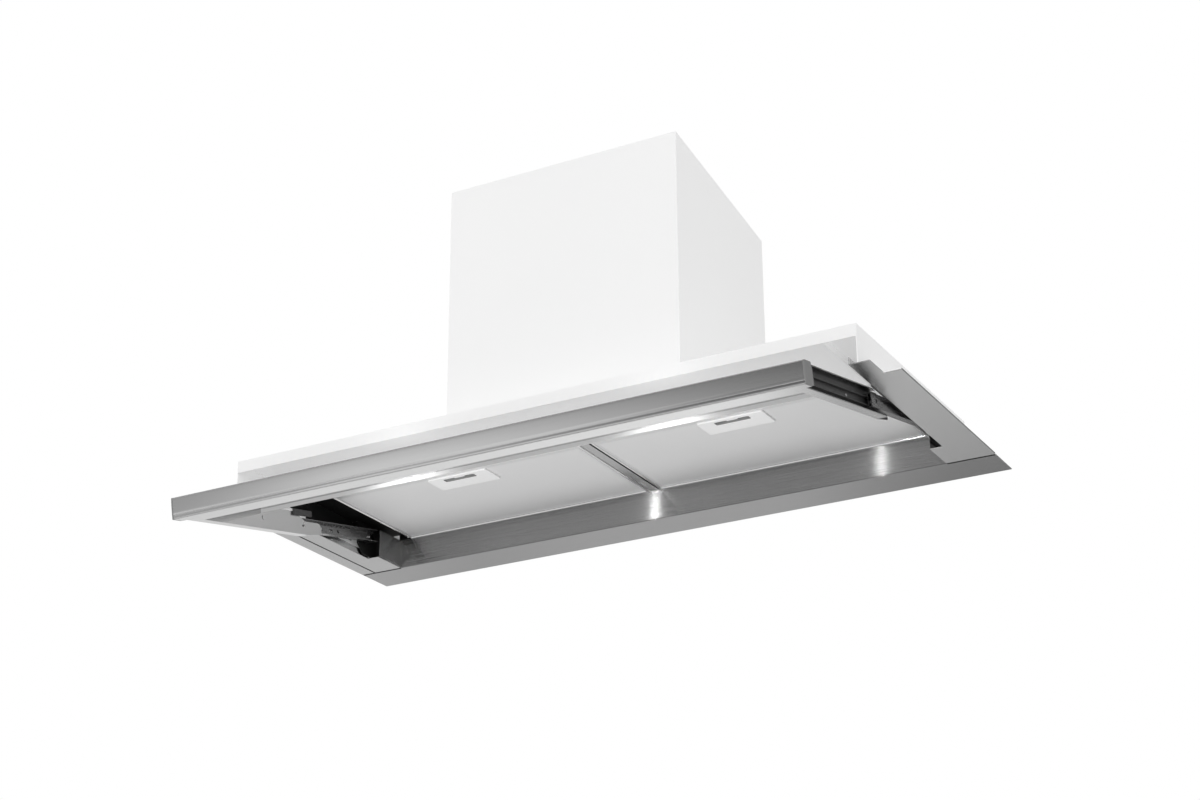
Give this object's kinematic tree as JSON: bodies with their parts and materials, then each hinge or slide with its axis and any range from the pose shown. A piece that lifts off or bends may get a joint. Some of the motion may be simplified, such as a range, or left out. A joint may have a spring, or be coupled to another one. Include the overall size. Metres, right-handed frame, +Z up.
{
  "type": "canopy range hood",
  "caption": "Built-in canopy range hood with a sliding and tilting front visor, grease filters, fan housing and duct collar.",
  "frame": {"origin": "centre of the four fixing holes, in the plane of the side flanges' upper face that seats on the cabinet", "axes": "+X to the right seen from the front, -Y towards the front and the cook, +Z up into the cabinet"},
  "size_m": [0.9, 0.5094, 0.4843],
  "materials": {
    "casing_paint": "smooth white powder coat",
    "inner_paint": "satin light grey paint",
    "brushed_trim": "brushed lengthwise",
    "dark_brushed": "brushed, in shade",
    "fascia_steel": "brushed lengthwise",
    "end_cap_plastic": "satin grey",
    "black_plastic": "matt black",
    "rail_zinc": "zinc plated",
    "dark_slide": "dark plated",
    "bright_steel": "bright plated",
    "galvanised": "galvanised",
    "collar_plastic": "satin dark grey",
    "motor_alloy": "cast, satin",
    "filter_aluminium": "satin",
    "filter_mesh": "layered expanded mesh",
    "handle_plastic": "satin light grey",
    "lamp_rim": "satin",
    "lens_plastic": "frosted"
  },
  "bodies": {
    "casing": {"plenum_casing": "casing_paint", "side_flanges": "casing_paint", "rear_rail": "brushed_trim", "left_outer_strip": "brushed_trim", "right_outer_strip": "brushed_trim", "left_inner_plate": "brushed_trim", "right_inner_plate": "brushed_trim", "recess_liner": "dark_brushed", "filter_deck": "inner_paint", "front_cover": "inner_paint", "centre_divider": "brushed_trim", "motor_housing": "casing_paint", "housing_lid": "casing_paint", "outlet_collar": "collar_plastic", "damper_pins": "bright_steel", "blower_scroll": "galvanised", "inlet_rings": "galvanised", "motor": "motor_alloy", "motor_bracket": "rail_zinc", "control_box": "inner_paint", "control_box_lid": "inner_paint", "cable_gland": "black_plastic", "control_electrics": "motor_alloy", "slide_shrouds": "black_plastic", "left_rail_bracket": "black_plastic", "right_rail_bracket": "black_plastic", "pivot_pins": "bright_steel", "case_screws": "bright_steel"},
    "rails": {"left_rail": "rail_zinc", "right_rail": "rail_zinc"},
    "cages": {"left_ball_cage": "rail_zinc", "right_ball_cage": "rail_zinc"},
    "visor": {"fascia": "fascia_steel", "fascia_end_caps": "end_cap_plastic", "visor_sheet": "fascia_steel", "left_arm": "fascia_steel", "right_arm": "fascia_steel", "left_slide": "dark_slide", "right_slide": "dark_slide", "arm_bumpers": "end_cap_plastic", "lamp_bezels": "lamp_rim", "lamp_lenses": "lens_plastic", "keypad": "black_plastic", "visor_rivets": "bright_steel"},
    "power_button": {"power_button": "handle_plastic"},
    "slow_button": {"slow_button": "handle_plastic"},
    "fast_button": {"fast_button": "handle_plastic"},
    "light_button": {"light_button": "handle_plastic"},
    "left_filter": {"left_filter_frame": "filter_aluminium", "left_filter_mesh": "filter_mesh", "left_filter_handle": "handle_plastic"},
    "right_filter": {"right_filter_frame": "filter_aluminium", "right_filter_mesh": "filter_mesh", "right_filter_handle": "handle_plastic"},
    "left_latch": {"left_filter_latch": "handle_plastic"},
    "right_latch": {"right_filter_latch": "handle_plastic"},
    "front_flap": {"front_flap": "black_plastic"},
    "rear_flap": {"rear_flap": "black_plastic"},
    "fan": {"impeller": "black_plastic", "motor_shaft": "bright_steel"}
  },
  "joints": [
    {"name": "visor_tilt", "type": "hinge", "parent": "casing", "child": "rails", "pos_m": [0, 0.085, 0.0256], "axis": [-1, 0, 0], "range_deg": [0, 9.3]},
    {"name": "visor_slide", "type": "slide", "parent": "rails", "child": "visor", "axis": [0, 0.9789, 0.2045], "range_m": [0, 0.1]},
    {"name": "cage_travel", "type": "slide", "parent": "rails", "child": "cages", "axis": [0, 0.9789, 0.2045], "range_m": [0, 0.05]},
    {"name": "power_press", "type": "slide", "parent": "visor", "child": "power_button", "axis": [0, -0.2045, 0.9789], "range_m": [0, 0.0015], "stiffness_N_per_m": 400, "springref_m": -0.001},
    {"name": "slow_press", "type": "slide", "parent": "visor", "child": "slow_button", "axis": [0, -0.2045, 0.9789], "range_m": [0, 0.0015], "stiffness_N_per_m": 400, "springref_m": -0.001},
    {"name": "fast_press", "type": "slide", "parent": "visor", "child": "fast_button", "axis": [0, -0.2045, 0.9789], "range_m": [0, 0.0015], "stiffness_N_per_m": 400, "springref_m": -0.001},
    {"name": "light_press", "type": "slide", "parent": "visor", "child": "light_button", "axis": [0, -0.2045, 0.9789], "range_m": [0, 0.0015], "stiffness_N_per_m": 400, "springref_m": -0.001},
    {"name": "left_filter_drop", "type": "hinge", "parent": "casing", "child": "left_filter", "pos_m": [0, 0.1363, 0.0391], "axis": [1, 0, 0], "range_deg": [0, 60]},
    {"name": "left_latch_pull", "type": "slide", "parent": "left_filter", "child": "left_latch", "axis": [0, 1, 0], "range_m": [0, 0.0045], "stiffness_N_per_m": 400, "springref_m": -0.002},
    {"name": "right_filter_drop", "type": "hinge", "parent": "casing", "child": "right_filter", "pos_m": [0, 0.1363, 0.0391], "axis": [1, 0, 0], "range_deg": [0, 60]},
    {"name": "right_latch_pull", "type": "slide", "parent": "right_filter", "child": "right_latch", "axis": [0, 1, 0], "range_m": [0, 0.0045], "stiffness_N_per_m": 400, "springref_m": -0.002},
    {"name": "front_flap_open", "type": "hinge", "parent": "casing", "child": "front_flap", "pos_m": [0, 0.04706, 0.37305], "axis": [-1, 0, 0], "range_deg": [0, 75]},
    {"name": "rear_flap_open", "type": "hinge", "parent": "casing", "child": "rear_flap", "pos_m": [0, 0.0559, 0.37139], "axis": [1, 0, 0], "range_deg": [0, 75]},
    {"name": "fan_spin", "type": "hinge", "parent": "casing", "child": "fan", "pos_m": [0, -0.001, 0.1976], "axis": [1, 0, 0], "continuous": true}
  ],
  "couplings": [
    {"joint": "cage_travel", "follows": "visor_slide", "ratio": 0.5}
  ]
}
